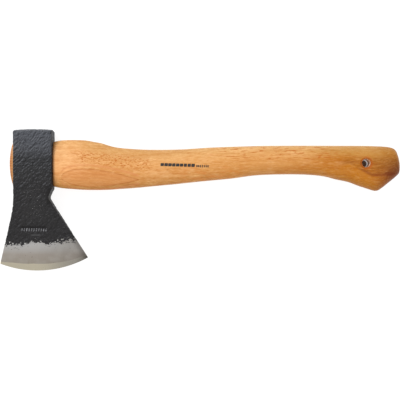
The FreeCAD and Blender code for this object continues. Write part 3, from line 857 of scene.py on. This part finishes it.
def woodMaterial():
    look = woodLook
    material, net, shader = newMaterial("lacqueredHickory", **{"Specular IOR Level": look["gloss"],
                                                               "Coat Roughness": look["coatRough"]})
    place = net.coords()
    x, y, z = net.parts(place)
    top, bottom = stationCurve(net, x, 2, 1), stationCurve(net, x, 3, 1)
    middle = (top + bottom) / 2
    across = (y - middle) / (top - bottom) + 0.5    # 0 at the lower side, 1 at the upper side
    # each zone's colours carry painted shade across the rounded haft, darkest at the lower side
    zones = [net.shades(across, *((i / (len(colours) - 1), seen) for i, seen in enumerate(colours)))
             for colours in look["zones"]]
    colour = zones[0]
    for reach, zone in zip(look["takeOver"], zones[1:]):
        colour = net.mix(x.step(*reach), colour, zone)

    # grain runs along the handle and follows a part of its bend
    grain = net.joined(x, y - middle * look["bend"], z)
    bands, fibres, hairs, blotches, mottle, clouds, pores, rows, short, long = (
        net.noise(grain, *how) for how in look["patterns"].values())
    pores = pores.step(0.67, 0.76) * (rows.step(0.48, 0.62) * 0.8 + 0.2)
    redPatch = x.within(138, 158, 196, 222) * y.step(-1, -5)     # low on the grip
    # short orange flecks near the head, longer ones on the upper side of the grip
    rising = y + x * 0.12
    shortPatch = x.within(38, 52, 108, 126) * rising.within(5, 9, 16, 21)
    longPatch = x.within(170, 200, 280, 312) * y.within(2, 6, 15, 18)
    flecks = short.step(0.52, 0.6) * (shortPatch * 0.9 + 0.16) + long.step(0.58, 0.63) * (longPatch + 0.2)
    # each pattern darkens where it is dense and brightens where it is thin
    colour = net.coat(
        colour,
        (bands.step(0.5, 0.75) * 0.45, (0.80, 0.64, 0.44)),
        (bands.step(0.5, 0.28) * x.step(325, 280) * 0.3, (240, 190, 130)),
        (fibres.step(0.46, 0.72) * 0.6, (0.74, 0.57, 0.36)),
        (hairs.step(0.52, 0.68) * 0.45, (0.78, 0.63, 0.46)),
        (hairs.step(0.48, 0.34) * 0.16, (250, 206, 150)),
        (blotches.step(0.52, 0.7) * 0.35, (0.90, 0.74, 0.54)),
        (blotches.step(0.48, 0.3) * x.step(330, 290) * 0.25, (244, 196, 140)),
        (mottle.step(0.5, 0.7) * (0.42 - x.step(180, 240) * 0.2), (0.86, 0.69, 0.47)),
        (mottle.step(0.5, 0.32) * 0.24 * (1 - x.step(170, 235) * 0.6), (248, 204, 148)),
        (redPatch * clouds.step(0.47, 0.6) * 0.5, (206, 126, 58)),
        (redPatch * clouds.step(0.42, 0.32) * 0.35, (240, 188, 118)),
        (pores * 0.7, (142, 84, 36)),
        (flecks.clamped() * 0.85, (182, 98, 30)))

    # a darker heartwood figure near the head, outlined, blunt at the left and pointed at the right
    mark = look["figure"]
    drift = net.noise(place, (18, 3, 9), shift=(1, 1, 4)) - 0.5
    along = ((x - mark["x"]) / mark["length"]).clamped()
    spine = y - mark["y"] + along * mark["fall"] + drift * 2.0
    wide = ((along ** 0.62 * math.pi).apply("SINE").clamped() ** 0.8) * mark["half"]
    figure = wide - spine.apply("ABSOLUTE") + (z - midZ) * 0.1 - mark["edge"]
    near = along.within(0.0, 0.01, 0.985, 1.0)
    inside = figure.step(-0.3, 0.8) * near
    outline = figure.within(-0.8, 0.0, 0.2, 1.0) * near
    halo = (figure + 5.5 + drift * 3).within(0, 1.2, 1.6, 4.2) * near
    colour = net.coat(
        colour,
        (inside * 0.45, (208, 138, 82)),
        ((figure * 1.7).apply("SINE").step(0.3, 1) * inside * 0.16, (178, 108, 56)),
        (halo * 0.5, (208, 134, 84)),
        ((outline * (fibres * 1.4 + mottle * 1.6 - 0.85)).clamped() * 0.75, (172, 96, 40)))

    # a reddish streak past the hanging hole to the butt, with a knot, and dark lines along the lower side
    red, knot = look["streak"], look["knot"]
    fall = ((x - red["x"]) / red["length"]).clamped() * red["fall"]
    over = y + fall - red["y"] + drift * 1.6    # height above the streak's lower edge
    streak = over.step(-0.5, 1.0) * (y + drift * 6).step(8, 2.5) * x.step(300, 316)
    veins = hairs.step(0.42, 0.6) * 0.45 + fibres.step(0.42, 0.62) * 0.4 + mottle.step(0.48, 0.62) * 0.3
    redder = (over - 0.4).apply("ABSOLUTE").step(2.6, 0.5) * x.step(318, 332) * (blotches * 1.6 - 0.2)
    fromKnot = ((x - knot["x"]) / knot["long"]) ** 2 + ((y - knot["y"]) / knot["high"]) ** 2
    # end grain where the fibres are cut across: the outer end in the eye
    heart = look["heart"]
    endGrain = x.step(-19.5, -22)
    fromHeart = ((y - heart["y"]) ** 2 + (z - heart["z"]) ** 2) ** 0.5
    years = fromHeart * heart["rings"] + net.noise(place, (6, 5, 5)) * 3
    vessels = net.noise(place, (0.8, 0.42, 0.42), detail=1, shift=(4, 4, 4)).step(0.62, 0.7)
    # the hole has a darker rim and a bore painted pale, a painted highlight of its lit wall; painted shadow
    # darkens the corner where the shaft meets the head
    hole = handleSize["hole"]
    bore = hole["radius"]
    out = ((x - hole["x"]) ** 2 + (y - hole["y"]) ** 2) ** 0.5
    # painted shadow in the corner where the shaft meets the head
    corner = x.within(19, 19.2, 19.8, 22.6)
    colour = net.coat(
        colour,
        ((streak * veins).clamped() * 0.62, (120, 66, 20)),
        (redder.clamped() * 0.75, (126, 54, 8)),
        ((fromKnot.step(1.2, 0.2) * (mottle + 0.25)).clamped() * 0.7, (112, 44, 8)),
        (x.step(346, 364) * y.step(6, -10) * 0.5, (88, 38, 4)),
        (across.step(0.24, 0.04) * fibres.step(0.46, 0.66) * 0.3, (146, 88, 42)),
        (endGrain * 0.9, (190, 124, 72)),
        (endGrain * years.apply("SINE").step(-0.3, 0.95) * 0.45, (144, 84, 44)),
        (endGrain * vessels * 0.6, (92, 52, 28)),
        (endGrain * blotches.step(0.4, 0.7) * 0.3, (206, 146, 94)),
        (out.step(bore + 3, bore + 1.8) * 0.55, (180, 92, 34)),
        # painted highlight on the bore's wall
        (out.step(bore + 0.3, bore) * 0.95, (240, 214, 190)),
        (corner * 0.6, (96, 50, 26)))

    height = fibres * 0.45 + bands * 0.3 - pores * 0.6 + 0.4
    feed(net, shader, Base_Color=colour, Roughness=fibres * 0.12 + pores * 0.2 + look["rough"],
         Coat_Weight=look["coat"] - pores * 0.04, Normal=bump(net, height, look["poreDepth"], 0.7))
    return material


def wedgeWoodMaterial():
    # pale beech seen on its end: rings across the thickness, short rays
    material, net, shader = newMaterial("wedgeBeech")
    place = net.coords()
    rays = net.noise(place, (9, 2.5, 0.35), detail=2)
    years = net.noise(place, (14, 8, 1.0), detail=3)
    colour = net.mix(years.step(0.35, 0.7), tone(206, 160, 110), tone(164, 112, 66))
    colour = net.coat(colour, (rays.step(0.58, 0.7) * 0.5, (132, 84, 46)))
    feed(net, shader, Base_Color=colour, Roughness=years * 0.2 + 0.5, Normal=bump(net, rays, 0.12, 0.6))
    return material


def ringMaterial():
    # bright steel, turned: fine rings from the tool, and a few dull spots
    material, net, shader = newMaterial("turnedSteel", metallic=1.0)
    place = net.coords()
    dull = net.noise(place, 1.4, detail=3)
    turned = net.noise(place, (0.2, 6, 6), detail=1)
    colour = net.mix(dull.step(0.4, 0.7), tone(196, 196, 194), tone(150, 148, 144))
    feed(net, shader, Base_Color=colour, Roughness=dull * 0.25 + 0.2, Normal=bump(net, turned, 0.03, 0.5))
    return material


hickory = woodMaterial()
sizes = {"Rows": handleSize["rows"], "Points round": handleSize["around"],
         "Roundness": handleSize["roundness"], "Waviness": handleSize["waviness"] * mm,
         "Waves per metre": handleSize["wavesPerMetre"], "Seed": handleSize["seed"], "Material": hickory}
handle = newPiece("handle_hickory", [(0, 0, 0)], [])
runTree(handle, handleTree(sizes), sizes)
weld(handle)
tongue, wedge = makeTongue("tongue"), makeTongue("wedge_beech")
combine(handle, tongue, "UNION")
kerf, ringWedge, hole = (handleSize[name] for name in ("kerf", "ring", "hole"))
combine(handle, wedgePrism("kerfTool", kerf["seam"]), "DIFFERENCE")
ringTool = lathe("ringTool", ringProfile(ringWedge["seam"], handleSize["outside"]), "X", (0, 0, midZ))
combine(handle, ringTool, "DIFFERENCE", keepTool=True)
combine(handle, lathe("holeTool", holeProfile(), "Z", (hole["x"], hole["y"], midZ)), "DIFFERENCE")
weld(handle, 0.001)
smooth(handle, handleSize["smoothAngle"])
finishPiece(handle, hickory, "hickory", "handle")
print("handle finished", len(handle.data.polygons))

combine(wedge, wedgePrism("wedgeShape", 0), "INTERSECT")
combine(wedge, ringTool, "DIFFERENCE")
smooth(wedge, handleSize["smoothAngle"])
finishPiece(wedge, wedgeWoodMaterial(), "wedge_wood", "kerf_wedge")
outerX = ringWedge["sunk"] - handleSize["eyeReach"]
ring = lathe("ring_steel", ringProfile(0, outerX, ringWedge["soften"]), "X", (0, 0, midZ))
smooth(ring, handleSize["smoothAngle"])
finishPiece(ring, ringMaterial(), "bright_steel", "ring_wedge")
print("wedges finished", len(wedge.data.polygons), len(ring.data.polygons))


# printed and punched marks: plain blocks and strokes, no lettering; lengths in mm
markSize = {
    "print_bold": {"Count": 9, "Start": (128.6, -0.9, 0), "Step": (3.82, -0.1, 0),
                   "Width": 3.72, "Height": 3.2, "Slant": 0.1, "Barrel": 0.14, "Least": 0.84},
    "print_thin": {"Count": 7, "Start": (163.0, -2.35, 0), "Step": (1.82, -0.04, 0),
                   "Width": 1.35, "Height": 2.6, "Slant": 0.0, "Barrel": 0.2, "Least": 0.6},
    "head_strokes": {"Count": 11, "Start": (-11.4, -65.6, 0), "Step": (2.4, -0.02, 0),
                     "Width": 1.05, "Height": 3.1, "Slant": 0.2, "Barrel": 0.0, "Least": 0.6},
    "thickness": 0.1,
}


def markTree(sizes):
    # slanted blocks in a row, laid down on a surface from above
    tree, net, given = geometryTree("markRow", sizes)
    block = net.add("GeometryNodeMeshCube", {},
                    {"Size": net.joined(given["Width"], given["Height"], given["Thickness"]),
                     "Vertices X": 5, "Vertices Y": 5, "Vertices Z": 2})
    wide, tall, _ = net.parts(net.add("GeometryNodeInputPosition"))
    ends = (tall / given["Height"] * 2) ** 2 * given["Barrel"]
    lean = net.joined(tall * given["Slant"] - wide * ends)
    block = net.add("GeometryNodeSetPosition", {}, {"Geometry": block, "Offset": lean})
    row = net.add("GeometryNodeMeshLine", {"mode": "OFFSET"},
                  {"Count": given["Count"], "Start Location": given["Start"], "Offset": given["Step"]})
    least = net.joined(given["Least"], 0.9, 1.0)
    scale = net.add("FunctionNodeRandomValue", {"data_type": "FLOAT_VECTOR"},
                    {"Min": least, "Max": (1.0, 1.0, 1.0), "Seed": given["Seed"]})
    blocks = net.add("GeometryNodeInstanceOnPoints", {}, {"Points": row, "Instance": block, "Scale": scale})
    blocks = net.add("GeometryNodeRealizeInstances", {}, {"Geometry": blocks})
    # a ray from 0.1 m above finds the surface under each point
    x, y, z = net.parts(net.add("GeometryNodeInputPosition"))
    surface = net.add("GeometryNodeObjectInfo", {}, {"Object": given["Surface"]}, "Geometry")
    hit = net.add("GeometryNodeRaycast", {},
                  {"Target Geometry": surface, "Source Position": net.joined(x, y, 0.1),
                   "Ray Direction": (0.0, 0.0, -1.0), "Ray Length": 1.0}, "Hit Position")
    laid = net.joined(x, y, net.parts(hit)[2] + z)
    moved = net.add("GeometryNodeSetPosition", {}, {"Geometry": blocks, "Position": laid})
    endTree(net, moved, given["Material"], smoothShade=False)
    return tree


def inkMaterial():
    # black ink, thinner where the wood's pores took it
    material, net, shader = newMaterial("printInk")
    place = net.coords()
    worn = net.noise(place, (1.6, 0.3, 1), detail=2).step(0.6, 0.75)
    soft = net.noise(place, 0.8, detail=2)
    colour = net.mix(soft * 0.5, tone(26, 22, 20), tone(52, 42, 34))
    colour = net.coat(colour, (worn * 0.6, (150, 100, 58)))
    feed(net, shader, Base_Color=colour, Roughness=soft * 0.2 + 0.5)
    return material


def strokeMaterial():
    # bare rims of the punch strokes
    material, net, shader = newMaterial("punchedSteel", metallic=0.8)
    place = net.coords()
    rubbed = net.noise(place, (0.9, 1.6, 1), detail=2)
    feed(net, shader, Base_Color=net.mix(rubbed.step(0.35, 0.65), tone(84, 84, 88), tone(146, 146, 150)),
         Roughness=rubbed * 0.3 + 0.3)
    return material


ink = inkMaterial()
marks = {"print_bold": (handle, ink, "hickory"), "print_thin": (handle, ink, "hickory"),
         "head_strokes": (head, strokeMaterial(), "forged_steel")}
for seed, (name, (surface, material, slot)) in enumerate(marks.items()):
    sizes = dict(markSize[name], Thickness=markSize["thickness"])
    for label in ("Start", "Step"):
        sizes[label] = tuple(part * mm for part in sizes[label])
    for label in ("Width", "Height", "Thickness"):
        sizes[label] *= mm
    sizes |= {"Seed": seed, "Surface": surface, "Material": material}
    mark = newPiece(name, [(0, 0, 0)], [])
    runTree(mark, markTree(sizes), sizes)
    finishPiece(mark, material, slot)
print("marks finished")
